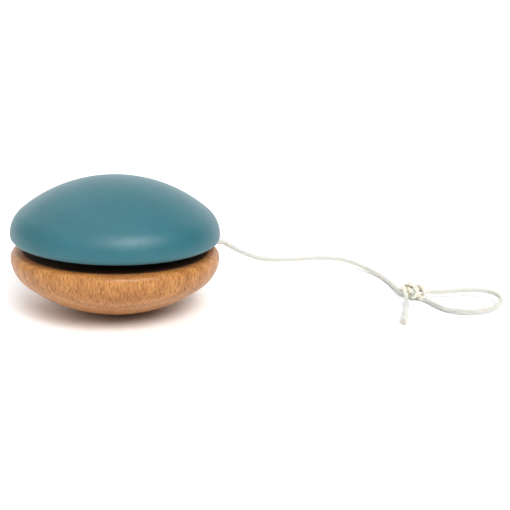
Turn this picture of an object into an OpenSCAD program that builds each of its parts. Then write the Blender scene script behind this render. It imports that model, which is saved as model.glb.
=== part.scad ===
// A turned wooden yo-yo: two lens-shaped halves glued to a dowel axle, with a twisted string
// that is looped round the axle, wound in the gap and tied into a finger loop.
// Origin: centre of the foot that the lower half stands on. +Z runs up the axle.

/* [Halves] */
// Outer diameter of both halves
body_d = 60; // [50:1:72]
// Radius of the arc that shapes each dome
dome_r = 42; // [38:1:50]
// Radius of the round between the dome and the widest line of a half
rim_r = 8.5; // [7:0.5:10]
// Radius of the round between the widest line and the inner face of a half
lip_r = 1.9; // [1.2:0.1:3]
// Diameter of the flat foot sanded on the lower dome
foot_d = 12; // [6:1:16]
// Width of the string gap between the two inner faces
gap_w = 2.9; // [2.2:0.1:5]
// Width of the chamfer at the mouth of each axle hole
mouth_chamfer = 0.5; // [0.2:0.1:0.8]

/* [Axle] */
// Diameter of the dowel
axle_d = 8; // [6:0.5:10]
// Length of dowel glued into each half
axle_seat = 9; // [6:0.5:10]
// Width of the chamfer at each end of the dowel
axle_chamfer = 0.7; // [0.3:0.1:1]
// Space left for glue round the dowel
glue_gap = 0.05; // [0.03:0.01:0.1]
// Space left for glue beyond each end of the dowel
glue_pocket = 0.5; // [0.3:0.1:1]
// Number of glue flutes along each seated length
flute_count = 10; // [6:1:16]
// Depth of a glue flute
flute_depth = 0.3; // [0.2:0.05:0.5]
// Plain length between the flutes and the string gap
flute_stop = 2; // [1:0.5:3]

/* [String] */
// Diameter of the string where it is wound or looped tight
string_d = 1.2; // [0.9:0.1:1.5]
// Diameter of the string where nothing presses on it
slack_d = 1.4; // [1:0.1:1.7]
// Length of string wound round the axle
wound_len = 830; // [400:10:1000]
// Space between the winding and each inner face
wind_clear = 0.2; // [0.15:0.05:0.3]
// Space between the axle and the slip loop round it
slip_clear = 0.05; // [0.03:0.01:0.1]
// Direction from the axle in which the string crosses the rim, in degrees
exit_angle = 17; // [10:1:30]
// Distance outside the rim at which the string is free of the gap
exit_margin = 1; // [0.5:0.5:2]

/* [Finger knot] */
// Length of the overhand knot
knot_len = 8.6; // [7:0.2:11]
// Thickness of the overhand knot
knot_d = 4.8; // [4:0.2:6]
// Number of wraps that show on the knot
knot_wraps = 3; // [2:1:4]

/* [Hidden] */
$fn = 96;
TUBE_SIDES = 8;    // sides of a string tube
TUBE_STEPS = 2;    // rings between two points of a route
FAR = 200;         // larger than any cut
EPS = 0.01;        // overlap of pieces that form one solid

body_r = body_d / 2;
axle_r = axle_d / 2;
string_r = string_d / 2;
slack_r = slack_d / 2;

// Each half is drawn with its widest line at z = 0 and its dome upwards.
rim_x = body_r - rim_r;                                  // centre of the rim's round
dome_z = -sqrt(pow(dome_r - rim_r, 2) - pow(rim_x, 2));  // centre of the dome's arc
crown_h = dome_z + dome_r;                               // widest line to the top of a full dome
foot_h = dome_z + sqrt(pow(dome_r, 2) - pow(foot_d / 2, 2));
hole_r = axle_r + glue_gap;
hole_depth = axle_seat + glue_pocket;

// Heights in the assembled toy.
lower_line_z = foot_h;
lower_face_z = lower_line_z + lip_r;
gap_z = lower_face_z + gap_w / 2;
upper_face_z = lower_face_z + gap_w;
upper_line_z = upper_face_z + lip_r;
axle_len = gap_w + 2 * axle_seat;

// The winding: turns side by side, then layers until the wound length is used up.
slip_r = axle_r + slip_clear + string_r;                 // centre of the slip loop's string
wind_in_r = slip_r + string_r;
wind_columns = max(1, floor((gap_w - 2 * wind_clear) / string_d));
wind_w = wind_columns * string_d;
turns_sum = wound_len / (2 * PI * wind_columns);         // the layers' radii add up to this
wind_layers = ceil((-wind_in_r + sqrt(pow(wind_in_r, 2) + 2 * string_d * turns_sum)) / string_d);
wind_out_r = wind_in_r + wind_layers * string_d;
last_turn_r = wind_out_r - string_r;

// The string leaves its last turn along a tangent that meets the rim at exit_angle.
rim_pass_r = body_r + exit_margin;
leave_angle = exit_angle - acos(last_turn_r / rim_pass_r);
leave = last_turn_r * [cos(leave_angle), sin(leave_angle)];
exit = rim_pass_r * [cos(exit_angle), sin(exit_angle)];
exit_z = gap_z - gap_w / 4;                              // the string sags towards the lower half

// Free string from the rim to the knot: steps from the rim crossing in x and y, and the
// height of the string's underside above the surface that the yo-yo stands on. The heights
// were chosen for a string that crosses the rim at RUN_TOP, and follow it up or down.
RUN_TOP = 17.8;
RUN = [
    [2.6, 2.1, 16.4], [5.7, 5.3, 14.0], [9.2, 9.3, 11.5], [13, 14, 9.3], [16.8, 18.8, 7.7],
    [21, 24, 6.5], [26.2, 29.8, 5.3], [31.7, 35.3, 4.3], [37.2, 39.7, 3.3], [42.7, 42, 2.2],
    [48, 40, 1.0], [52.9, 34, 0.3], [55.9, 25.6, 0.1], [57.7, 16.9, 0.4], [58.8, 11.6, 1.2]
];
// Centre of the knot, as a step from the rim crossing.
KNOT = [61.7, 10.2];
// Finger loop and loose tail: steps from the centre of the knot, heights as above.
LOOP = [
    [3.4, 0.8, 1.8], [9.0, 1.9, 1.3], [15.6, 3.1, 1.8], [22.0, 3.9, 1.9], [25.9, 2.4, 1.8],
    [27.4, -1.4, 1.6], [26.2, -6.4, 1.2], [22.4, -11.0, 0.9], [17.0, -14.0, 0.8],
    [11.6, -13.8, 0.5], [7.3, -10.6, 0.2], [4.8, -5.6, 0.3], [3.2, -1.8, 1.0]
];
TAIL = [
    [-3.0, 0.8, 2.9], [-3.2, -1.8, 3.3], [-3.0, -4.2, 1.9], [-3.1, -7.2, 0.6],
    [-3.6, -10.6, 0.1], [-4.8, -16.2, 0.1], [-6.8, -25.2, 0.1]
];

// ---- curves ----------------------------------------------------------------

// A point of the Catmull-Rom curve through the middle two of four points.
function spline_point(a, b, c, d, t) =
    0.5 * (2 * b + (c - a) * t + (2 * a - 5 * b + 4 * c - d) * t * t
        + (3 * b - a - 3 * c + d) * t * t * t);

// The route again, with steps - 1 points added between each two.
function smooth(route, steps) = let (last = len(route) - 1) [
    for (i = [0:last - 1], s = [0:steps - 1])
        spline_point(route[max(i - 1, 0)], route[i], route[i + 1], route[min(i + 2, last)], s / steps),
    route[last]
];

// Direction of travel at a point of a route.
function heading(route, i) = let (
    ahead = route[min(i + 1, len(route) - 1)],
    behind = route[max(i - 1, 0)]
) (ahead - behind) / norm(ahead - behind);

// One ring of tube points round a point of a route. Routes never run straight up.
function ring(route, i) = let (
    along = heading(route, i),
    across = cross(along, [0, 0, 1]) / norm(cross(along, [0, 0, 1])),
    up = cross(across, along)
) [
    for (k = [0:TUBE_SIDES - 1])
        let (a = 360 * (k + 0.5) / TUBE_SIDES) route[i] + slack_r * (cos(a) * across + sin(a) * up)
];

// Moves a list of steps to its start. Heights are stretched by lift, then raised by half the
// string, since the lists give its underside.
function placed(steps, start, lift = 1) = [
    for (s = steps) [start[0] + s[0], start[1] + s[1], s[2] * lift + slack_r]
];

module tube(route) {
    rings = len(route);
    polyhedron(
        points = [for (i = [0:rings - 1]) each ring(route, i)],
        faces = [
            [for (k = [0:TUBE_SIDES - 1]) k],
            for (i = [0:rings - 2], k = [0:TUBE_SIDES - 1])
                let (n = (k + 1) % TUBE_SIDES, a = i * TUBE_SIDES, b = a + TUBE_SIDES)
                    each [[a + k, b + k, b + n], [a + k, b + n, a + n]],
            [for (k = [TUBE_SIDES - 1:-1:0]) (rings - 1) * TUBE_SIDES + k]
        ]
    );
}

// ---- halves ----------------------------------------------------------------

// Half a disc, above or below its own middle.
module half_disc(r, above) {
    intersection() {
        circle(r);
        translate([-FAR / 2, above ? 0 : -FAR]) square([FAR, FAR]);
    }
}

// The dome's share of the profile: a sector of its arc that ends where the rim's round begins.
module dome_sector() {
    edge = [rim_x, -dome_z] / norm([rim_x, dome_z]);
    intersection() {
        translate([0, dome_z]) circle(dome_r, $fn = 240);
        translate([0, dome_z]) polygon([[0, 0], FAR * edge, [0, FAR]]);
        square([FAR, FAR]);
    }
}

module half_profile(top) {
    intersection() {
        union() {
            dome_sector();
            translate([rim_x, 0]) half_disc(rim_r, true);
            translate([0, -lip_r]) square([body_r - lip_r, lip_r + EPS]);
            translate([body_r - lip_r, 0]) half_disc(lip_r, false);
        }
        translate([0, -FAR / 2]) square([body_r, FAR / 2 + top]);
    }
}

// A turned half with a blind hole for the dowel. Its dome is cut off flat at the height top.
module half(top) {
    difference() {
        rotate_extrude() half_profile(top);
        translate([0, 0, -lip_r - EPS]) cylinder(r = hole_r, h = hole_depth + EPS);
        translate([0, 0, -lip_r - EPS])
            cylinder(r1 = hole_r + mouth_chamfer + EPS, r2 = hole_r, h = mouth_chamfer + EPS);
    }
}

module upper_half() {
    color("cadetblue") translate([0, 0, upper_line_z]) half(crown_h + EPS);
}

module lower_half() {
    color("burlywood") translate([0, 0, lower_line_z]) rotate([180, 0, 0]) half(foot_h);
}

// ---- axle ------------------------------------------------------------------

module flutes(from_z) {
    flute_r = 2 * flute_depth;
    for (i = [0:flute_count - 1])
        rotate([0, 0, 360 * i / flute_count])
            translate([axle_r - flute_depth + flute_r, 0, from_z])
                cylinder(r = flute_r, h = axle_seat - flute_stop + EPS, $fn = 24);
}

module axle() {
    color("tan") translate([0, 0, gap_z - axle_len / 2]) difference() {
        union() {
            translate([0, 0, axle_chamfer]) cylinder(r = axle_r, h = axle_len - 2 * axle_chamfer);
            cylinder(r1 = axle_r - axle_chamfer, r2 = axle_r, h = axle_chamfer);
            translate([0, 0, axle_len - axle_chamfer])
                cylinder(r1 = axle_r, r2 = axle_r - axle_chamfer, h = axle_chamfer);
        }
        flutes(-EPS);
        flutes(axle_len - axle_seat + flute_stop);
    }
}

// ---- string ----------------------------------------------------------------

// The slip loop that lets the axle turn inside the string.
module axle_loop() {
    color("ivory") translate([0, 0, gap_z]) rotate_extrude() translate([slip_r, 0]) circle(string_r);
}

// The wound turns as one ring with rounded edges.
module string_winding() {
    edges = wind_columns > 1 ? [-1, 1] : [0];
    color("ivory") translate([0, 0, gap_z]) rotate_extrude() union() {
        if (wind_columns > 1)
            translate([wind_in_r, -wind_w / 2 + string_r])
                square([wind_layers * string_d, wind_w - string_d]);
        translate([wind_in_r + string_r, -wind_w / 2])
            square([(wind_layers - 1) * string_d, wind_w]);
        for (x = [wind_in_r + string_r, last_turn_r], z = edges)
            translate([x, z * (wind_w / 2 - string_r)]) circle(string_r, $fn = 48);
    }
}

module string_run() {
    start = [
        [leave[0], leave[1], gap_z],
        [(2 * leave[0] + exit[0]) / 3, (2 * leave[1] + exit[1]) / 3, gap_z],
        [(leave[0] + 3 * exit[0]) / 4, (leave[1] + 3 * exit[1]) / 4, (2 * gap_z + exit_z) / 3],
        [exit[0], exit[1], exit_z]
    ];
    lift = (exit_z - slack_r) / RUN_TOP;
    color("ivory") tube(smooth(concat(start, placed(RUN, exit, lift)), TUBE_STEPS));
}

// An overhand knot as a barrel with a round ridge for each wrap, lying along x.
module finger_knot() {
    ridge_r = min(string_d, knot_d / 5);
    ridge_x = knot_d / 2 - ridge_r;
    straight = knot_len - 2 * ridge_r;
    color("ivory") translate([exit[0] + KNOT[0], exit[1] + KNOT[1], knot_d / 2])
        rotate([0, 90, 0]) rotate_extrude($fn = 48) union() {
            translate([0, -knot_len / 2]) square([ridge_x, knot_len]);
            translate([0, -straight / 2]) square([knot_d / 2 - ridge_r / 2, straight]);
            for (i = [0:knot_wraps - 1])
                translate([ridge_x, straight * (i / (knot_wraps - 1) - 0.5)])
                    circle(ridge_r, $fn = 48);
        }
}

module finger_loop() {
    color("ivory") tube(smooth(placed(LOOP, exit + KNOT), TUBE_STEPS));
}

module string_tail() {
    color("ivory") tube(smooth(placed(TAIL, exit + KNOT), TUBE_STEPS));
}

upper_half();
lower_half();
axle();
axle_loop();
string_winding();
string_run();
finger_knot();
finger_loop();
string_tail();
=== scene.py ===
# %% [markdown]
# # A turned wooden yo-yo
#
# The object has four parts: a painted half, a bare beech half, a dowel that joins them and one
# twisted string. The string is looped round the dowel, wound in the gap between the halves, and
# tied into a finger loop with an overhand knot. This lesson makes each visible surface from a
# formula, gives it a procedural finish, and lays it on the frame that the CAD model gives.
#
# The frame comes first. It holds the exact solids, so sizes and places are read from it.

import math

import bpy
import numpy as np
from mathutils import Matrix, Vector


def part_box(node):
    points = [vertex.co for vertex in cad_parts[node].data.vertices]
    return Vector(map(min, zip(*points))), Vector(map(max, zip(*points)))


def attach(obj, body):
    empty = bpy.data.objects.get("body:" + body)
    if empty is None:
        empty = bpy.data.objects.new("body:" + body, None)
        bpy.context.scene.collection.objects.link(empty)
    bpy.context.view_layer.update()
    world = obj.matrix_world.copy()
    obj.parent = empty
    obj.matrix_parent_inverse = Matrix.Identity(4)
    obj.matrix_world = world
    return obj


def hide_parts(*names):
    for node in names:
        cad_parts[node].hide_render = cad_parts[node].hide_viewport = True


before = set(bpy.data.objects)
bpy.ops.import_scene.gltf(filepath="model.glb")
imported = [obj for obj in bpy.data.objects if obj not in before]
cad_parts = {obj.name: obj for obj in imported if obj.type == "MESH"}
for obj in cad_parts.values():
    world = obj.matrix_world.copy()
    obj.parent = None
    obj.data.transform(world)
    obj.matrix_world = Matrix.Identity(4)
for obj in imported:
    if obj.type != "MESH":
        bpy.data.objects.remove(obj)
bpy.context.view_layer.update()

MM = 0.001

# %% [markdown]
# ## The sizes that the looks need
#
# A half is a shape of arcs: a wide dome, a rounder rim, and a small lip that leads into the flat
# inner face. The frame gives the places where these arcs end, and the radii are the same named
# values as in the CAD source. Everything here is in metres.

# %% Sizes of the halves, the axle and the string
body_r = 30 * MM
dome_r = 42 * MM
rim_r = 8.5 * MM
lip_r = 1.9 * MM
hole_r = 4.05 * MM
hole_depth = 9.5 * MM
mouth_chamfer = 0.5 * MM
string_d = 1.2 * MM  # where it is wound or knotted tight
string_r = string_d / 2
slack_d = 1.4 * MM  # where nothing presses on it

lower_face_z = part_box("lower_half")[1].z
upper_face_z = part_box("upper_half")[0].z
gap_z = (lower_face_z + upper_face_z) / 2
gap_w = upper_face_z - lower_face_z
print("gap", round(gap_w / MM, 2), "mm wide at height", round(gap_z / MM, 2))

# %% [markdown]
# ## The camera
#
# The toy is seen from just above, 15.5 degrees down, with the camera leaning a little to one
# side. The camera is made before anything else, because the cords are judged from it.

# %% Camera
camera_place = (40.4 * MM, -241.4 * MM, 84.4 * MM)
look_down = math.radians(15.5)
lean = math.radians(2.6)

camera_data = bpy.data.cameras.new("camera")
camera_data.lens = 60.5
camera_data.sensor_width = 36
camera_data.clip_start = 10 * MM
camera = bpy.data.objects.new("camera", camera_data)
camera.matrix_world = (
    Matrix.Translation(camera_place)
    @ Matrix.Rotation(math.pi / 2 - look_down, 4, "X")
    @ Matrix.Rotation(lean, 4, "Z")
)
bpy.context.scene.collection.objects.link(camera)
bpy.context.scene.camera = camera
print("camera at", [round(c / MM) for c in camera.location], "mm")

# %% [markdown]
# ## The route of the string
#
# A string is a fixed length of something limp. It could be drawn as a Blender curve, but its
# twist and its knot need a path that is known point by point, so the route is a numpy array.
# It has four stretches: the turns round the axle, the free run from the rim to the knot, the
# finger loop, and the loose tail. The free stretches are listed points, the same as in the CAD
# source, with a smooth curve through them.

# %% Listed points of the free string
exit_angle = math.radians(17)
exit_margin = 1 * MM
run_exit = (body_r + exit_margin) * np.array([math.cos(exit_angle), math.sin(exit_angle)])
exit_z = gap_z - gap_w / 4

# Steps from the rim crossing in x and y, and the height of the string's underside.
RUN = np.array([
    [2.6, 2.1, 16.4], [5.7, 5.3, 14.0], [9.2, 9.3, 11.5], [13, 14, 9.3], [16.8, 18.8, 7.7],
    [21, 24, 6.5], [26.2, 29.8, 5.3], [31.7, 35.3, 4.3], [37.2, 39.7, 3.3], [42.7, 42, 2.2],
    [48, 40, 1.0], [52.9, 34, 0.3], [55.9, 25.6, 0.1], [57.7, 16.9, 0.4], [58.8, 11.6, 1.2],
])
# Centre of the knot from the rim crossing, then steps from the knot's centre.
KNOT = np.array([61.7, 10.2])
LOOP = np.array([
    [3.4, 0.8, 1.8], [9.0, 1.9, 1.3], [15.6, 3.1, 1.8], [22.0, 3.9, 1.9], [25.9, 2.4, 1.8],
    [27.4, -1.4, 1.6], [26.2, -6.4, 1.2], [22.4, -11.0, 0.9], [17.0, -14.0, 0.8],
    [11.6, -13.8, 0.5], [7.3, -10.6, 0.2], [4.8, -5.6, 0.3], [3.2, -1.8, 1.0],
])
TAIL = np.array([
    [-3.0, 0.8, 2.9], [-3.2, -1.8, 3.3], [-3.0, -4.2, 1.9], [-3.1, -7.2, 0.6],
    [-3.6, -10.6, 0.1], [-4.8, -16.2, 0.1], [-6.8, -25.2, 0.1],
])


def placed(steps, start):
    """The steps in metres from a start in x and y. Heights rise by half the string."""
    route = steps * MM
    route[:, :2] += start
    route[:, 2] += string_r
    return route


knot_xy = run_exit + KNOT * MM
run_route = placed(RUN, run_exit)
loop_route = placed(LOOP, knot_xy)
tail_route = placed(TAIL, knot_xy)
print("knot at", (knot_xy / MM).round(1), "mm")


# %% Curves through points
def ease(value, low, high):
    """3 t squared minus 2 t cubed, with t going from 0 to 1 between low and high."""
    t = np.clip((value - low) / (high - low), 0, 1)
    return t * t * (3 - 2 * t)


def smooth_curve(points, per_span=24):
    """A Catmull-Rom curve: between two points it is the cubic whose slope at each end is half
    the step from the point before to the point after."""
    p = np.vstack([2 * points[0] - points[1], points, 2 * points[-1] - points[-2]])
    t = np.linspace(0, 1, per_span, endpoint=False)[None, :, None]
    a, b, c, d = (p[i : len(p) - 3 + i][:, None, :] for i in range(4))
    curve = 0.5 * (
        2 * b + (c - a) * t + (2 * a - 5 * b + 4 * c - d) * t**2 + (3 * b - a - 3 * c + d) * t**3
    )
    return np.vstack([curve.reshape(-1, 3), points[-1]])


def along(points):
    """Distance along a line of points, from its first point."""
    return np.concatenate([[0], np.cumsum(np.linalg.norm(np.diff(points, axis=0), axis=1))])


def spaced(points, step):
    """The same line with points an equal distance apart, close to step."""
    s = along(points)
    at = np.linspace(0, s[-1], max(2, round(s[-1] / step) + 1))
    return np.stack([np.interp(at, s, points[:, k]) for k in range(3)], axis=1)


def carried_frames(line):
    """Two directions across a path at each point. Each pair is the one before it, leaned over
    just enough to stay square to the path."""
    ahead = np.gradient(line, axis=0)
    ahead /= np.linalg.norm(ahead, axis=1)[:, None]
    side = np.empty_like(line)
    last = np.cross(ahead[0], [0, 0, 1])
    for i, direction in enumerate(ahead):
        last = last - direction * (last @ direction)
        last /= np.linalg.norm(last)
        side[i] = last
    return side, np.cross(ahead, side)


print("free run", round(along(smooth_curve(run_route))[-1] / MM), "mm")

# %% [markdown]
# ## The turns round the axle
#
# The string is wound in two columns that fill the gap. Each layer has one turn in each column,
# and the string steps across or outwards once a turn. A helix would be simpler, but its turns
# would cross the gap at a slant and never lie side by side, so each turn is a true circle with a
# short eased step at its start.

# %% Wound turns
wound_layers = 7
wound_columns = 2
first_turn_r = 5.85 * MM
last_turn_r = first_turn_r + (wound_layers - 1) * string_d
step_share = 0.16  # the share of a turn that a step takes
leave_angle = exit_angle - math.acos(last_turn_r / (body_r + exit_margin))


def winding(points_per_turn=180):
    """Circles round the axle. The turn's number gives its radius and its column, and between
    two turns both are eased by 3 t squared minus 2 t cubed over the first part of the turn."""
    turns = wound_layers * wound_columns
    t = np.linspace(0, turns, turns * points_per_turn + 1)
    number = np.minimum(t.astype(int), turns - 1)
    stepped = ease(t - number, 0, step_share)
    layer = number // wound_columns
    side = np.where((number + layer) % 2 == 0, 1, -1)
    before = np.maximum(number - 1, 0)
    layer_before = before // wound_columns
    side_before = np.where((before + layer_before) % 2 == 0, 1, -1)
    radius = first_turn_r + string_d * (layer_before + (layer - layer_before) * stepped)
    height = gap_z + string_r * (side_before + (side - side_before) * stepped)
    angle = leave_angle + 2 * math.pi * (t - turns)
    return np.stack([radius * np.cos(angle), radius * np.sin(angle), height], axis=1)


wound = winding()
rim_point = np.array([run_exit[0], run_exit[1], exit_z])
lead_out = wound[-1] + np.array([[0], [1 / 3], [3 / 4], [1]]) * (rim_point - wound[-1])
print("wound length", round(along(wound)[-1] / MM), "mm, last turn at", (wound[-1] / MM).round(1))

# %% [markdown]
# ## The knot
#
# A finger loop is tied with an overhand knot in the doubled string, so the knot holds two
# strands side by side. Drawing such a knot by hand gives strands that cut through each other.
# Here two loose strands start on the curve of an open overhand knot, and a small simulation
# pulls it tight: each strand keeps its length, resists bending, and pushes off whatever comes
# closer than one diameter. All of it is whole-array arithmetic, and it gives the same knot on
# every run.


# %% Slow settling of string
def settle(points, joined, fixed, diameter, steps, pull=None, ground=None, stiff=0.12):
    """Moves points until the string rests. joined marks the points that a next point follows.
    Each step evens out bends, parts points closer than one diameter, and gives each piece of
    string its length back. pull is a move per step for some points, and ground is the lowest
    height a centre may have."""
    p = points.copy()
    n = len(p)
    piece = np.flatnonzero(joined)
    length = np.linalg.norm(p[piece + 1] - p[piece], axis=1)[:, None]
    halves = [piece % 2 == 0, piece % 2 == 1]
    middle = np.flatnonzero(joined[:-1] & joined[1:]) + 1
    strand = np.concatenate([[0], np.cumsum(~joined)])[:n]
    near = math.ceil(1.35 * diameter / length.mean())
    i_all, j_all = np.triu_indices(n, near + 1)
    i_side, j_side = np.triu_indices(n, 1)
    other = (j_side - i_side <= near) & (strand[i_side] != strand[j_side])
    i_all = np.concatenate([i_all, i_side[other]])
    j_all = np.concatenate([j_all, j_side[other]])
    free = (~fixed).astype(float)[:, None]
    for step in range(steps):
        if step % 8 == 0:
            close = np.linalg.norm(p[j_all] - p[i_all], axis=1) < 2 * diameter
            i, j = i_all[close], j_all[close]
        if pull is not None:
            p += pull
        for _ in range(4):
            p[middle] += stiff * free[middle] * ((p[middle - 1] + p[middle + 1]) / 2 - p[middle])
            gap = p[j] - p[i]
            apart = np.linalg.norm(gap, axis=1)
            touch = apart < diameter
            push = 0.2 * ((diameter - apart) / apart)[touch, None] * gap[touch]
            for k in range(3):
                shove = np.bincount(j[touch], push[:, k], n) - np.bincount(i[touch], push[:, k], n)
                p[:, k] += shove * free[:, 0]
            for half in halves:
                a = piece[half]
                span = p[a + 1] - p[a]
                size = np.linalg.norm(span, axis=1)[:, None]
                mend = 0.5 * (size - length[half]) / size * span
                p[a] += mend * free[a]
                p[a + 1] -= mend * free[a + 1]
            if ground is not None:
                p[:, 2] = np.maximum(p[:, 2], ground)
    return p


# %% Pull the overhand knot tight
knot_step = 0.5 * MM  # distance between two points of the string
strand_apart = 0.62 * string_d  # from the middle of the doubled string to each strand
pull_step = 0.08 * MM  # how far the ends are pulled in one step
tighten_steps = 1450
middle_reach = 5 * MM  # the part of the tight knot whose mean is its middle


def loose_overhand():
    """The open overhand knot: along it x, y and z are t^5 - 10 t, t^3 - 3 t and t^4 - 4 t^2.
    Two strands lie on each side of it, along a direction that is carried without twist."""
    t = np.linspace(-2.25, 2.25, 500)
    core = np.stack([t**5 - 10 * t, t**3 - 3 * t, t**4 - 4 * t**2], axis=1)
    core *= np.array([0.30, 1.9, 1.5]) * MM
    offset = strand_apart * carried_frames(core)[0]
    return spaced(core + offset, knot_step), spaced(core - offset, knot_step)


def tight_overhand():
    """The loose knot with its four ends pulled apart along x, then turned so that its two
    ends lie on the x axis."""
    first, second = loose_overhand()
    points = np.vstack([first, second])
    joined = np.ones(len(points), bool)
    joined[[len(first) - 1, -1]] = False
    ends = [0, len(first), len(first) - 1, len(points) - 1]
    pull = np.zeros_like(points)
    pull[ends, 0] = np.array([-1, -1, 1, 1]) * pull_step
    fixed = np.zeros(len(points), bool)
    p = settle(points, joined, fixed, string_d, tighten_steps, pull)
    left, right = p[ends[:2]].mean(0), p[ends[2:]].mean(0)
    p -= p[np.abs(p[:, 0] - p[:, 0].mean()) < middle_reach].mean(0)
    x = (right - left) / np.linalg.norm(right - left)
    y = np.cross([0, 0, 1], x)
    y /= np.linalg.norm(y)
    p = p @ np.stack([x, -y, -np.cross(x, y)], axis=1)
    return p[: len(first)], p[len(first) :]


tail_strand, loop_strand = tight_overhand()
print("knot strands", len(tail_strand), len(loop_strand), "points")

# %% [markdown]
# ## One string from the axle to its loose end
#
# The tight knot is set down where the listed routes meet, and the routes are joined to its
# strands: the free run goes in on the left, comes out as the front leg of the finger loop, goes
# back in by the other leg, and leaves over the top as the tail. A second, short settling lets
# the joins ease and the knot rest on the ground, with everything further off held still.

# %% Join the knot to the routes and let it rest
knot_half = 3.6 * MM  # half the length of the tight knot
knot_reach = 13 * MM  # how far from its middle the string is free to settle
knot_clear = 2 * MM  # how far from the knot a route's points are left out
rest_steps = 300


def inside_knot(strand):
    """The part of a strand from where it first comes within knot_half of the middle, across,
    to where it last does."""
    within = np.flatnonzero(np.abs(strand[:, 0]) < knot_half)
    return strand[within[0] : within[-1] + 1]


def outside_knot(route):
    """The points of a route that lie clear of the knot."""
    return route[np.abs(route[:, 0] - knot_xy[0]) > knot_half + knot_clear]


def whole_string():
    """All the listed stretches and both strands of the knot as one line of points, settled
    near the knot and left as given elsewhere."""
    core = [inside_knot(loop_strand), inside_knot(tail_strand)[::-1]]
    lowest = min(c[:, 2].min() for c in core)
    core = [c + np.array([knot_xy[0], knot_xy[1], string_r - lowest]) for c in core]
    run = smooth_curve(np.vstack([lead_out, outside_knot(run_route), core[0][:1]]))
    legs = np.vstack([core[0][-1:], outside_knot(loop_route[::-1]), core[1][:1]])
    tail = np.vstack([core[1][-1:], tail_route])
    legs, tail = smooth_curve(legs), smooth_curve(tail)
    line = spaced(np.vstack([run[:-1], core[0], legs[1:-1], core[1], tail[1:]]), knot_step)
    middle = np.array([knot_xy[0], knot_xy[1], line[:, 2].min()])
    fixed = np.linalg.norm(line - middle, axis=1) > knot_reach
    joined = np.ones(len(line), bool)
    joined[-1] = False
    return settle(line, joined, fixed, string_d, rest_steps, ground=string_r)


free_string = whole_string()
print("free string", round(along(free_string)[-1] / MM), "mm in", len(free_string), "points")

# %% [markdown]
# ## The twisted string
#
# The string is three plies of cotton laid round each other. A plain tube with a bump map would
# lose its outline, so the twist is in the mesh: the cross-section is a three-lobed round that
# turns as it goes along the path. Each ring of the tube stands on a pair of directions that are
# carried along the path without twist, and the turn of the plies is added to them. Cotton is
# soft, so the string is thinnest where it is wound or knotted tight, and fuller where nothing
# presses on it.
#
# All the stretches are cut from one long tube, so where two of them meet they share a ring.

# %% Rings of the twisted string
ply_pitch = 3.6 * MM  # length over which a ply goes once round
crease = 0.28  # depth of the groove between plies, as a share of the radius
ring_sides = 18
swell = 1.1  # cotton plies stand a little proud of the nominal size
slack_swell = slack_d / string_d - 1  # how much wider the plies lie in the free stretches
loose_swell = 0.34  # how much wider again they lie at the cut end
loose_length = 19 * MM  # the length over which they open out


def plies(angle):
    """Radius of the cross-section at an angle from a groove between plies, as a share of the
    full radius: 1 at a crest, less crease times the square of (1 - |sin(1.5 angle)|), so the
    plies are full and the grooves between them narrow."""
    return 1 - crease * (1 - np.abs(np.sin(1.5 * angle))) ** 2


def twisted_rings(line):
    """Points of a tube round a line, one row a ring. The ring is turned by 2 pi times distance
    over pitch. The plies lie close in the winding and in the knot, wider in the free stretches,
    and widest at the cut end. The middle of a ring rises as much as its radius grows, so the
    string doesn't sink into the ground."""
    side, up = carried_frames(line)
    around = np.arange(ring_sides) * 2 * math.pi / ring_sides
    distance = along(line)
    turn = around[None, :] + 2 * math.pi * distance[:, None] / ply_pitch
    out_of_gap = ease(np.linalg.norm(line[:, :2], axis=1), 22 * MM, body_r)
    out_of_knot = ease(np.linalg.norm(line[:, :2] - knot_xy, axis=1), knot_half, 8 * MM)
    opened = slack_swell * out_of_gap * out_of_knot
    opened += loose_swell * ease(distance, distance[-1] - loose_length, distance[-1])
    radius = string_r * (swell + opened)[:, None, None] * plies(around)[None, :, None]
    across = np.cos(turn)[..., None] * side[:, None] + np.sin(turn)[..., None] * up[:, None]
    middle = line + string_r * opened[:, None] * [0, 0, 1]
    return middle[:, None, :] + radius * across


string_line = np.vstack([wound[:-1], smooth_curve(free_string, per_span=4)])
string_rings = twisted_rings(string_line)
string_length = along(string_line)
print("whole string", round(string_length[-1] / MM), "mm,", len(string_line), "rings")


# %% Meshes from grids of points
def grid_faces(rows, columns, first=0):
    """Four-sided faces between the rows of a grid whose last column joins its first."""
    row = np.arange(rows - 1)[:, None] * columns
    column = np.arange(columns)[None, :]
    following = (column + 1) % columns
    faces = [row + column, row + columns + column, row + columns + following, row + following]
    return first + np.stack(faces, axis=-1).reshape(-1, 4)


def new_mesh(name, points, faces, smooth_angle=60):
    """A mesh object from points and a list of faces. Edges sharper than the angle stay sharp."""
    mesh = bpy.data.meshes.new(name)
    mesh.from_pydata(points.reshape(-1, 3).tolist(), [], faces)
    mesh.polygons.foreach_set("use_smooth", np.ones(len(mesh.polygons), bool))
    mesh.set_sharp_from_angle(angle=math.radians(smooth_angle))
    thing = bpy.data.objects.new(name, mesh)
    bpy.context.scene.collection.objects.link(thing)
    return thing


def write_uv(mesh, round_at, along_at):
    """A UV map from two values a vertex. Round the tube, a face that closes the ring takes 1
    in place of 0, so that the pattern doesn't run backwards across it."""
    corner = np.empty(len(mesh.loops), np.int32)
    mesh.loops.foreach_get("vertex_index", corner)
    face_size = np.empty(len(mesh.polygons), np.int32)
    mesh.polygons.foreach_get("loop_total", face_size)
    face = np.repeat(np.arange(len(face_size)), face_size)
    u, v = round_at[corner], along_at[corner]
    highest = np.zeros(len(face_size))
    np.maximum.at(highest, face, u)
    u = np.where((u == 0) & (highest[face] > 0.5), 1.0, u)
    layer = mesh.uv_layers.new(name="twist")
    layer.data.foreach_set("uv", np.stack([u, v], axis=1).astype(np.float32).ravel())


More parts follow.
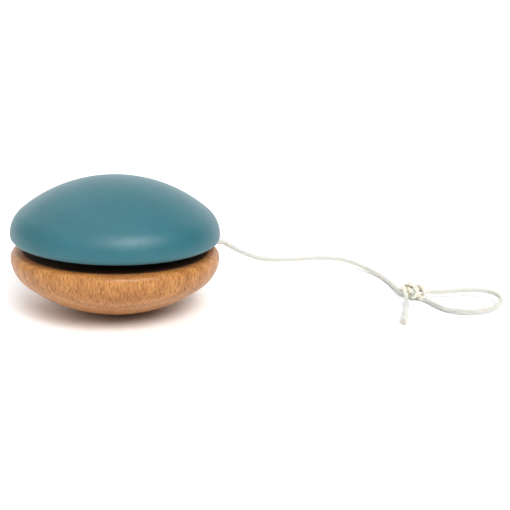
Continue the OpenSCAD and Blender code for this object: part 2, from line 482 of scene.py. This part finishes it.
def tube_mesh(name, stretches):
    """Closed tubes from rings. Each stretch is a range of rings, and its ends are capped."""
    points, faces, ply_at, length_at = [], [], [], []
    first = 0
    for start, stop in stretches:
        rings = string_rings[start:stop]
        count = len(rings)
        ends = [rings[0].mean(axis=0), rings[-1].mean(axis=0)]
        points.append(np.vstack([rings.reshape(-1, 3), ends]))
        body = grid_faces(count, ring_sides, first)
        around = np.arange(ring_sides)
        following = (around + 1) % ring_sides
        tip = first + count * ring_sides
        start_cap = np.stack([first + following, first + around, np.full(ring_sides, tip)], 1)
        last = first + (count - 1) * ring_sides
        stop_cap = np.stack([last + around, last + following, np.full(ring_sides, tip + 1)], 1)
        faces += body[:, ::-1].tolist() + start_cap.tolist() + stop_cap.tolist()
        ply_at.append(np.concatenate([np.tile(around / ring_sides, count), [0, 0]]))
        along_ring = np.repeat(string_length[start:stop], ring_sides)
        length_at.append(np.concatenate([along_ring, string_length[[start, stop - 1]]]))
        first += count * ring_sides + 2
    thing = new_mesh(name, np.vstack(points), faces, 180)
    write_uv(thing.data, np.concatenate(ply_at), np.concatenate(length_at) / ply_pitch)
    return thing


# %% [markdown]
# ## Cutting the string into its pieces
#
# The run, the knot, the finger loop and the tail are separate pieces, because each stands for
# its own solid in the CAD model. The cuts lie where the string goes in and out of the knot.

# %% Cut points
def first_near(after, before, inside):
    """The first ring between two rings that is inside the knot, or outside it."""
    part = np.abs(string_line[after:before, 0] - knot_xy[0]) < knot_half - 0.2 * MM
    return after + int(np.argmax(part if inside else ~part))


ring_count = len(string_line)
free_start = len(wound) - 1
knot_in = first_near(free_start, ring_count, True)
loop_out = first_near(knot_in, ring_count, False)
while string_line[loop_out, 0] < knot_xy[0]:
    loop_out = first_near(first_near(loop_out, ring_count, True), ring_count, False)
loop_in = first_near(loop_out + 8, ring_count, True)
tail_out = first_near(loop_in, ring_count, False)
while string_line[tail_out, 0] > knot_xy[0]:
    tail_out = first_near(first_near(tail_out, ring_count, True), ring_count, False)
cuts = [0, knot_in, loop_out, loop_in, tail_out, ring_count - 1]
stretch_mm = [round((string_length[b] - string_length[a]) / MM, 1) for a, b in zip(cuts, cuts[1:])]
print("run, knot, loop, knot, tail:", stretch_mm, "mm")

# %% String pieces
string_piece = tube_mesh("wound_string", [(0, knot_in + 1)])
knot_piece = tube_mesh("overhand_knot", [(knot_in, loop_out + 1), (loop_in, tail_out + 1)])
loop_piece = tube_mesh("finger_loop_string", [(loop_out, loop_in + 1)])
tail_piece = tube_mesh("loose_tail", [(tail_out, ring_count)])


def slip_ring():
    """The loop round the axle: a circle with the plies turned a whole number of times."""
    centre_r = first_turn_r - string_d
    turns = round(2 * math.pi * centre_r / ply_pitch)
    ring = np.linspace(0, 2 * math.pi, turns * 24, endpoint=False)
    out = np.stack([np.cos(ring), np.sin(ring), np.zeros_like(ring)], axis=1)
    around = np.arange(ring_sides) * 2 * math.pi / ring_sides
    turn = around[None, :] + turns * ring[:, None]
    radius = string_r * swell * plies(around)[None, :]
    points = (centre_r + radius * np.cos(turn))[..., None] * out[:, None]
    points[..., 2] += gap_z + radius * np.sin(turn)
    rows = np.vstack([points, points[:1]])
    faces = grid_faces(len(rows), ring_sides) % (len(points) * ring_sides)
    thing = new_mesh("slip_loop", points, faces.tolist(), 180)
    round_at = np.tile(around / (2 * math.pi), len(points))
    along_at = np.repeat(ring / (2 * math.pi) * turns, ring_sides)
    write_uv(thing.data, round_at, along_at)
    return thing


slip_piece = slip_ring()
print("string pieces", [len(o.data.polygons) for o in (string_piece, knot_piece, loop_piece)])

# %% [markdown]
# ## The turned halves
#
# A half is turned on a lathe, so its surface is a profile carried round the axle. The CAD node
# has the same shape in loose triangles. The profile is carried round again here so that its
# normals are smooth, and so that the paint can end at the lip, where the brush stopped. The
# profile runs from the pole over the dome, round the rim and the lip, across the inner face and
# down the axle hole, so the surface is closed.

# %% Profile of a half
def arc(centre, radius, start, stop, count):
    """Points on a circle between two angles in degrees, the first included."""
    angle = np.radians(np.linspace(start, stop, count, endpoint=False))
    return np.stack([centre[0] + radius * np.cos(angle), centre[1] + radius * np.sin(angle)], 1)


def straight(start, stop, count):
    """Points on a straight line, the first included."""
    t = np.linspace(0, 1, count, endpoint=False)[:, None]
    return (1 - t) * np.array(start) + t * np.array(stop)


def half_profile(foot_r):
    """Distance from the axle and height above the widest line, from the pole to the bottom of
    the axle hole. The dome's centre is on the axle, as far down as lets its arc meet the rim's
    arc smoothly."""
    rim_x = body_r - rim_r
    dome_z = -math.sqrt((dome_r - rim_r) ** 2 - rim_x**2)
    meet = math.degrees(math.atan2(-dome_z, rim_x))
    pole = 90 - math.degrees(math.asin(foot_r / dome_r))
    hole_end = -lip_r + hole_depth
    foot_z = dome_z + math.sqrt(dome_r**2 - foot_r**2)
    stretches = [
        straight([0, foot_z], [foot_r, foot_z], 12) if foot_r else np.empty((0, 2)),
        arc([0, dome_z], dome_r, pole, meet, 90),
        arc([rim_x, 0], rim_r, meet, 0, 48),
        arc([body_r - lip_r, 0], lip_r, 0, -90, 24),
        straight([body_r - lip_r, -lip_r], [hole_r + mouth_chamfer, -lip_r], 24),
        straight([hole_r + mouth_chamfer, -lip_r], [hole_r, -lip_r + mouth_chamfer], 3),
        straight([hole_r, -lip_r + mouth_chamfer], [hole_r, hole_end], 8),
        straight([hole_r, hole_end], [0, hole_end], 6),
        np.array([[0, hole_end]]),
    ]
    return np.vstack(stretches)


lathe_segments = 288


def turned(name, profile, line_z, upward):
    """The profile carried round the axle. Its first and last points lie on the axle and become
    single points, closed by fans. Upward is 1 for a dome on top and -1 for one below."""
    ring = np.linspace(0, 2 * math.pi, lathe_segments, endpoint=False)
    radius, height = profile[1:-1, 0], profile[1:-1, 1]
    x = radius[:, None] * np.cos(ring)
    y = radius[:, None] * np.sin(ring)
    z = np.broadcast_to((line_z + upward * height)[:, None], x.shape)
    poles = [[0, 0, line_z + upward * h] for h in profile[[0, -1], 1]]
    points = np.vstack([np.stack([x, y, z], axis=-1).reshape(-1, 3), poles])
    faces = grid_faces(len(radius), lathe_segments)
    spot = np.arange(lathe_segments)
    following = (spot + 1) % lathe_segments
    last = (len(radius) - 1) * lathe_segments
    top = len(points) - 2
    caps = [
        np.stack([np.full(lathe_segments, top), spot, following], 1),
        np.stack([last + following, last + spot, np.full(lathe_segments, top + 1)], 1),
    ]
    order = 1 if upward > 0 else -1
    faces = [f[:, ::order].tolist() for f in [faces, *caps]]
    return new_mesh(name, points, faces[0] + faces[1] + faces[2], 35)


foot_r = 6 * MM
upper_piece = turned("painted_half", half_profile(0), upper_face_z + lip_r, 1)
lower_piece = turned("bare_half", half_profile(foot_r), lower_face_z - lip_r, -1)
for piece in (upper_piece, lower_piece):
    heights = [corner[2] for corner in piece.bound_box]
    print(piece.name, "from", round(min(heights) / MM, 2), "to", round(max(heights) / MM, 2), "mm")


# %% [markdown]
# ## Small helpers for node trees
#
# Every finish below is a tree of shader nodes. Writing a node in one line, with its inputs given
# by name, keeps a tree readable. A value goes on the node's own socket, and a socket of another
# node is linked.

# %% Nodes in one line
def node(tree, kind, inputs=(), **settings):
    """One node. Inputs pair a socket's name or number with a value or with another socket."""
    made = tree.nodes.new("ShaderNode" + kind)
    for name, value in settings.items():
        setattr(made, name, value)
    for name, value in dict(inputs).items():
        if isinstance(value, bpy.types.NodeSocket):
            tree.links.new(value, made.inputs[name])
        else:
            made.inputs[name].default_value = value
    return made


def math_node(tree, operation, *values, clamp=False):
    """The output of a Math node."""
    made = node(tree, "Math", enumerate(values), operation=operation, use_clamp=clamp)
    return made.outputs[0]


def noise(tree, position, scale, detail=2.0, roughness=0.5):
    """The value of a noise texture, about 0.5 on average."""
    inputs = {"Vector": position, "Scale": scale, "Detail": detail, "Roughness": roughness}
    return node(tree, "TexNoise", inputs).outputs[0]


def stretched(tree, position, scale):
    """The position with each axis multiplied by its own number."""
    inputs = {"Vector": position, "Scale": scale}
    return node(tree, "Mapping", inputs, vector_type="POINT").outputs[0]


def eased(tree, value, low, high, to_low=0.0, to_high=1.0):
    """The value carried from low..high to to_low..to_high, with soft ends."""
    inputs = {"Value": value, "From Min": low, "From Max": high}
    inputs |= {"To Min": to_low, "To Max": to_high}
    return node(tree, "MapRange", inputs, interpolation_type="SMOOTHSTEP").outputs[0]


def mixed(tree, amount, first, second, blend="MIX"):
    """Two colours mixed by an amount."""
    inputs = {"Factor": amount, 6: first, 7: second}
    return node(tree, "Mix", inputs, data_type="RGBA", blend_type=blend).outputs[2]


def new_group(name, inputs, outputs):
    """A node group with named sockets, its input node and its output node."""
    group = bpy.data.node_groups.new(name, "ShaderNodeTree")
    for label, kind, value in inputs:
        socket = group.interface.new_socket(label, in_out="INPUT", socket_type="NodeSocket" + kind)
        if value is not None:
            socket.default_value = value
    for label, kind in outputs:
        group.interface.new_socket(label, in_out="OUTPUT", socket_type="NodeSocket" + kind)
    return group, group.nodes.new("NodeGroupInput"), group.nodes.new("NodeGroupOutput")


def new_material(name, **constants):
    """A material with one Principled shader. The constants are set on the shader's sockets."""
    material = bpy.data.materials.new(name)
    material.use_nodes = True
    tree = material.node_tree
    tree.nodes.clear()
    shader = node(tree, "BsdfPrincipled", {k.replace("_", " "): v for k, v in constants.items()})
    node(tree, "OutputMaterial", {"Surface": shader.outputs[0]})
    return material, tree, shader


# %% [markdown]
# ## Beech
#
# Beech is a pale, pink-brown wood. Its mark is the ray fleck: short, dark dashes that lie along
# the grain on one face, lengthen into flakes on the next, and end as dots on the end grain. All
# three are one thing seen from three sides, thin blades that run through the wood, so a solid
# texture gives them all at once. Cells of random points, stretched into blades, give the rays;
# rings round a far-off pith give the growth bands; and a noise drawn out along the grain gives
# the fibres. The paint and the dowel need the same figure, so it is a group.

# %% The beech group
def beech_group():
    """Colour, Rays, Roughness and Height of beech, with the grain along Z. Position is in
    millimetres."""
    group, given, result = new_group(
        "beech",
        [
            ("Position", "Vector", None),
            ("Light", "Color", (0.55, 0.258, 0.076, 1)),
            ("Dark", "Color", (0.31, 0.122, 0.034, 1)),
            ("Ray colour", "Color", (0.17, 0.055, 0.017, 1)),
            ("Ray strength", "Float", 0.7),
        ],
        [("Color", "Color"), ("Rays", "Float"), ("Roughness", "Float"), ("Height", "Float")],
    )
    place = given.outputs["Position"]

    # A slow waver, so that no line of grain is ruled straight.
    slow = node(group, "TexNoise", {"Vector": stretched(group, place, (0.05, 0.05, 0.03))})
    waver = node(group, "VectorMath", {0: slow.outputs["Color"], 1: (1.6, 1.6, 0)},
                 operation="MULTIPLY").outputs[0]
    place = node(group, "VectorMath", {0: place, 1: waver}, operation="ADD").outputs[0]

    # Growth bands: distance from the pith, in bands of a few millimetres.
    pith = (-14, 71, 0)
    across = node(group, "VectorMath", {0: place, 1: pith}, operation="SUBTRACT").outputs[0]
    flat = node(group, "VectorMath", {0: across, 1: (1, 1, 0.03)}, operation="MULTIPLY").outputs[0]
    distance = node(group, "VectorMath", {0: flat}, operation="LENGTH").outputs["Value"]
    uneven = noise(group, stretched(group, place, (0.16, 0.16, 0.02)), 1.0)
    turns = math_node(group, "MULTIPLY_ADD", distance, 0.31, uneven)
    saw = math_node(group, "FRACT", turns)
    band = math_node(group, "MULTIPLY", eased(group, saw, 0.0, 0.7), eased(group, saw, 1.0, 0.7))

    # Rays: points scattered in cells that are stretched along the grain and into the wood.
    cells = stretched(group, place, (2.6, 0.8, 0.33))
    near = node(group, "TexVoronoi", {"Vector": cells, "Scale": 1.0, "Randomness": 1.0},
                feature="F1").outputs["Distance"]
    patchy = noise(group, stretched(group, place, (0.12, 0.12, 0.09)), 1.0)
    reach = eased(group, patchy, 0.3, 0.7, 0.32, 0.38)
    rays = eased(group, math_node(group, "SUBTRACT", reach, near), -0.02, 0.07)

    # Fibres, drawn out along the grain.
    fibres = noise(group, stretched(group, place, (4.2, 4.2, 0.18)), 1.0, 3.0, 0.65)
    cloud = noise(group, stretched(group, place, (0.2, 0.2, 0.06)), 1.0, 2.0)

    shade = math_node(group, "MULTIPLY_ADD", band, 0.14, math_node(group, "MULTIPLY", fibres, 1.1))
    shade = math_node(group, "MULTIPLY_ADD", cloud, 0.3, shade)
    shade = eased(group, shade, 0.5, 1.0)
    wood = mixed(group, shade, given.outputs["Light"], given.outputs["Dark"])
    strength = math_node(group, "MULTIPLY", rays, given.outputs["Ray strength"])
    wood = mixed(group, strength, wood, given.outputs["Ray colour"])

    group.links.new(wood, result.inputs["Color"])
    group.links.new(rays, result.inputs["Rays"])
    rough = math_node(group, "MULTIPLY_ADD", fibres, 0.16, 0.34)
    group.links.new(rough, result.inputs["Roughness"])
    height = math_node(group, "MULTIPLY_ADD", rays, -0.5, fibres)
    group.links.new(height, result.inputs["Height"])
    return group


beech = beech_group()


def beech_in(tree, **values):
    """A beech group node that reads the place on the piece in millimetres."""
    place = node(tree, "TexCoord").outputs["Object"]
    in_mm = node(tree, "VectorMath", {0: place, "Scale": 1 / MM}, operation="SCALE").outputs[0]
    made = node(tree, "Group", node_tree=beech)
    tree.links.new(in_mm, made.inputs["Position"])
    for name, value in values.items():
        made.inputs[name.replace("_", " ")].default_value = value
    return made, in_mm


# %% [markdown]
# ## Three finishes
#
# The bare half has a thin satin lacquer: the wood shows its colour, and a clear coat gives the
# soft line of light along the rim. The painted half has a satin enamel over the same wood. It
# hides the colour, but not quite the relief, and a brushed coat is never the same thickness
# everywhere, so the grain comes through as a faint bump and the colour drifts a little. Both
# inner faces get painted shade almost to the lip: a dark wood tone that stands for the deep
# shadow in the gap. Paint, painted shade and bare wood could be three materials on chosen faces,
# but then each edge would follow the mesh. A mask worked out from the distance to the axle and
# to the middle of the gap gives edges as uneven as a brush leaves them.
#
# The string is raw cotton: rough and a little see-through. Painted shade darkens it down between
# its plies, and painted light makes it a paler cream round the knot, to lift the shade between
# the knot's strands. Its fibres follow the twist, so they read the UV map written with the tube.

# %% Bare and painted wood
def on_inner_face(tree, place, edge):
    """1 within the edge's distance of the middle of the gap, in millimetres, and 0 past it."""
    height = node(tree, "SeparateXYZ", {0: place}).outputs[2]
    off_middle = math_node(tree, "ABSOLUTE", math_node(tree, "SUBTRACT", height, gap_z / MM))
    return eased(tree, off_middle, edge, edge + 0.08, 1.0, 0.0)


def painted_gap_shade(tree, place):
    """1 where the inner face gets painted shade, fading to 0 a little inside the lip."""
    flat = node(tree, "VectorMath", {0: place, 1: (1, 1, 0)}, operation="MULTIPLY").outputs[0]
    from_axle = node(tree, "VectorMath", {0: flat}, operation="LENGTH").outputs["Value"]
    uneven = math_node(tree, "MULTIPLY_ADD", noise(tree, place, 0.9), 0.7, from_axle)
    within = eased(tree, uneven, 26.4, 27.7, 1.0, 0.0)
    return math_node(tree, "MULTIPLY", within, on_inner_face(tree, place, 1.5))


# Dark wood tones for painted shade: they darken the inner faces to stand for the deep shadow in
# the gap.
gap_shade_tones = {
    "Light": (0.08, 0.05, 0.027, 1),
    "Dark": (0.045, 0.027, 0.014, 1),
    "Ray_colour": (0.03, 0.017, 0.009, 1),
}
thin_teal, thick_teal = (0.022, 0.121, 0.149, 1), (0.016, 0.105, 0.13, 1)

bare_wood, tree, shader = new_material("bare beech", Coat_Roughness=0.16, Specular_IOR_Level=0.24)
wood, place = beech_in(tree)
# Painted shade: a dark copy of the wood, mixed onto the inner faces by the mask below.
painted_shade_wood = beech_in(tree, **gap_shade_tones)[0]
inside = painted_gap_shade(tree, place)
grain = wood.outputs["Height"]
relief = node(tree, "Bump", {"Height": grain, "Strength": 0.25, "Distance": 0.06 * MM})
colour = mixed(tree, inside, wood.outputs["Color"], painted_shade_wood.outputs["Color"])
tree.links.new(colour, shader.inputs["Base Color"])
rough = math_node(tree, "MULTIPLY_ADD", inside, 0.35, wood.outputs["Roughness"])
tree.links.new(rough, shader.inputs["Roughness"])
tree.links.new(eased(tree, inside, 0.0, 1.0, 0.1, 0.0), shader.inputs["Coat Weight"])
tree.links.new(relief.outputs[0], shader.inputs["Normal"])

painted_wood, tree, shader = new_material("teal enamel", Specular_IOR_Level=0.43)
wood, place = beech_in(tree)
# Painted shade on the inner face of the painted half, as on the bare half.
painted_shade_wood = beech_in(tree, **gap_shade_tones)[0]
drift = noise(tree, stretched(tree, place, (0.09, 0.09, 0.12)), 1.0, 3.0)
speckle = noise(tree, place, 2.2, 3.0, 0.6)
tone = math_node(tree, "MULTIPLY_ADD", speckle, 0.45, math_node(tree, "MULTIPLY", drift, 0.7))
tone = math_node(tree, "MULTIPLY_ADD", wood.outputs["Rays"], 0.08, tone)
tone = eased(tree, tone, 0.38, 0.82)
teal = mixed(tree, tone, thin_teal, thick_teal)
unpainted = on_inner_face(tree, place, 1.5)
inner = mixed(tree, painted_gap_shade(tree, place), wood.outputs["Color"], painted_shade_wood.outputs["Color"])
colour = mixed(tree, unpainted, teal, inner)
tree.links.new(colour, shader.inputs["Base Color"])
satin = eased(tree, speckle, 0.2, 0.8, 0.38, 0.5)
rough = math_node(tree, "MULTIPLY_ADD", unpainted, 0.25, satin)
tree.links.new(rough, shader.inputs["Roughness"])
skin = math_node(tree, "MULTIPLY_ADD", speckle, 0.8, wood.outputs["Height"])
relief = node(tree, "Bump", {"Height": skin, "Strength": 0.25, "Distance": 0.08 * MM})
tree.links.new(relief.outputs[0], shader.inputs["Normal"])

# %% Cotton string
white_cotton, grey_cotton = (0.5, 0.525, 0.5, 1), (0.455, 0.47, 0.445, 1)
# The groove colour is painted shade for the grooves between the plies.
groove_shade_cotton, fibre_cotton = (0.445, 0.44, 0.38, 1), (0.465, 0.465, 0.41, 1)
# A paler cream for painted light round the knot, lifting the shade between its strands.
knot_light_cotton = (0.71, 0.675, 0.555, 1)

cotton, tree, shader = new_material(
    "cotton string",
    Subsurface_Weight=0.85,
    Subsurface_Radius=(1.0, 0.7, 0.45),
    Subsurface_Scale=0.002,
    Sheen_Weight=0.25,
    Sheen_Roughness=0.5,
)
twist = node(tree, "UVMap", uv_map="twist").outputs[0]
parts = node(tree, "SeparateXYZ", {0: twist})
round_angle = math_node(tree, "MULTIPLY", parts.outputs[0], 2 * math.pi)
lengthways = math_node(tree, "MULTIPLY", parts.outputs[1], ply_pitch / MM)
# The way round is closed into a circle, so the fibres have no seam.
across = {
    0: math_node(tree, "MULTIPLY", math_node(tree, "COSINE", round_angle), 5.0),
    1: math_node(tree, "MULTIPLY", math_node(tree, "SINE", round_angle), 5.0),
    2: lengthways,
}
yarn = node(tree, "CombineXYZ", across).outputs[0]
fibres = noise(tree, stretched(tree, yarn, (1.0, 1.0, 0.9)), 1.0, 4.0, 0.65)
slubs = noise(tree, stretched(tree, yarn, (0.12, 0.12, 0.22)), 1.0, 2.0)
# Painted shade: the colour darkens towards the groove between two plies.
groove = math_node(tree, "MULTIPLY", round_angle, 1.5)
crest = math_node(tree, "ABSOLUTE", math_node(tree, "SINE", groove))
shade = eased(tree, crest, 0.0, 0.62)
clean = mixed(tree, eased(tree, slubs, 0.3, 0.7), white_cotton, grey_cotton)
colour = mixed(tree, shade, groove_shade_cotton, clean)
# Painted light: near the knot the colour turns a paler cream, to lift the shade between its
# strands.
place = node(tree, "TexCoord").outputs["Object"]
knot_middle = (*knot_xy, 2.2 * MM)
from_knot = node(tree, "VectorMath", {0: place, 1: knot_middle}, operation="DISTANCE")
knot_light_share = eased(tree, from_knot.outputs["Value"], 3.5 * MM, 6.5 * MM, 0.6, 0.0)
colour = mixed(tree, knot_light_share, colour, knot_light_cotton)
colour = mixed(tree, eased(tree, fibres, 0.55, 0.8, 0.0, 0.35), colour, fibre_cotton)
tree.links.new(colour, shader.inputs["Base Color"])
tree.links.new(eased(tree, fibres, 0.2, 0.8, 0.7, 0.95), shader.inputs["Roughness"])
relief = node(tree, "Bump", {"Height": fibres, "Strength": 0.6, "Distance": 0.08 * MM})
tree.links.new(relief.outputs[0], shader.inputs["Normal"])
print("finishes", [m.name for m in (bare_wood, painted_wood, cotton)])

# %% [markdown]
# ## Hand the pieces over
#
# Each new piece takes the place of its CAD node and rides the body that the node is on. The
# paint ends where the lip meets the inner face, which the enamel finds by its distance from the
# middle of the gap. The dowel is already right as a CAD node, and only gets its wood.

# %% Finishes and bodies
for piece, node_names, body in (
    (upper_piece, ["upper_half"], "yoyo"),
    (lower_piece, ["lower_half"], "yoyo"),
    (slip_piece, ["axle_loop"], "string"),
    (string_piece, ["string_winding", "string_run"], "string"),
    (knot_piece, ["finger_knot"], "string"),
    (loop_piece, ["finger_loop"], "string"),
    (tail_piece, ["string_tail"], "string"),
):
    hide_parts(*node_names)
    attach(piece, body)

for piece in (slip_piece, string_piece, knot_piece, loop_piece, tail_piece):
    piece.data.materials.append(cotton)

upper_piece.data.materials.append(painted_wood)
lower_piece.data.materials.append(bare_wood)

axle_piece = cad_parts["axle"]
axle_piece.material_slots[0].material = bare_wood

# %% [markdown]
# ## The cords
#
# The string leaves the dowel at the first turn and ends in the knot. The finger loop leaves the
# knot and comes back to it. Here the length of string from the dowel to the knot is printed.

print("string to the knot", round(string_length[knot_in] / MM), "mm")

# %% [markdown]
# ## Floor and light
#
# The toy lies on a white sweep: a floor that curves up into a wall, so there is no corner behind
# it. The key is a wide lamp in front and to the right. Two suns with big discs side by side make
# one, because they are as soft as a lamp nearby and light the whole sweep evenly. A white sky
# fills the shadows. It is brightest overhead, and a dark card takes most of it away on the
# right, which gives the round sides their shape.

# %% The sweep
def sweep(half_width=3.0, front=-2.0, back=1.4, curve_r=1.0, height=3.0):
    """A floor, a quarter circle and a wall, as one profile drawn along X."""
    turn = np.linspace(0, math.pi / 2, 25)
    y = np.concatenate([[front], back + curve_r * np.sin(turn), [back + curve_r]])
    z = np.concatenate([[0], curve_r * (1 - np.cos(turn)), [height]])
    left = np.stack([np.full_like(y, -half_width), y, z], axis=1)
    right = left * [-1, 1, 1]
    points = np.stack([left, right], axis=1)
    row = np.arange(len(y) - 1)
    faces = np.stack([2 * row, 2 * row + 1, 2 * row + 3, 2 * row + 2], axis=1)
    return new_mesh("sweep", points, faces.tolist())


backdrop = sweep()
paper, tree, shader = new_material("white paper", Roughness=0.9, Specular_IOR_Level=0.1)
place = node(tree, "TexCoord").outputs["Object"]
tooth = eased(tree, noise(tree, place, 900.0), 0.3, 0.7)
tree.links.new(mixed(tree, tooth, (0.97, 0.97, 0.97, 1), (1, 1, 1, 1)), shader.inputs[0])
backdrop.data.materials.append(paper)

# %% Lights
key_height = math.radians(46)
key_width = math.radians(30)
key_strength = 1.65
sky_strength = 0.86


def add_key(name, side):
    """Half of the key light, turned to one side of straight ahead."""
    data = bpy.data.lights.new(name, "SUN")
    data.angle = key_width
    data.energy = key_strength
    light = bpy.data.objects.new(name, data)
    come_from = Vector((
        math.cos(key_height) * math.sin(side),
        -math.cos(key_height) * math.cos(side),
        math.sin(key_height),
    ))
    light.location = come_from
    light.rotation_euler = come_from.to_track_quat("Z", "Y").to_euler()
    bpy.context.scene.collection.objects.link(light)


add_key("key_near", math.radians(18))
add_key("key_far", math.radians(43))

world = bpy.data.worlds.new("studio")
world.use_nodes = True
sky_tree = world.node_tree
sky = sky_tree.nodes["Background"]
toward = node(sky_tree, "SeparateXYZ", {0: node(sky_tree, "TexCoord").outputs["Generated"]})
overhead = eased(sky_tree, toward.outputs[2], 0.0, 0.85, 0.35, 1.3)
flagged = eased(sky_tree, toward.outputs[0], -0.1, 0.6, 1.0, 0.14)
sky_tree.links.new(math_node(sky_tree, "MULTIPLY", overhead, flagged), sky.inputs["Color"])
sky.inputs["Strength"].default_value = sky_strength
bpy.context.scene.world = world
bpy.context.scene.view_settings.view_transform = "Standard"
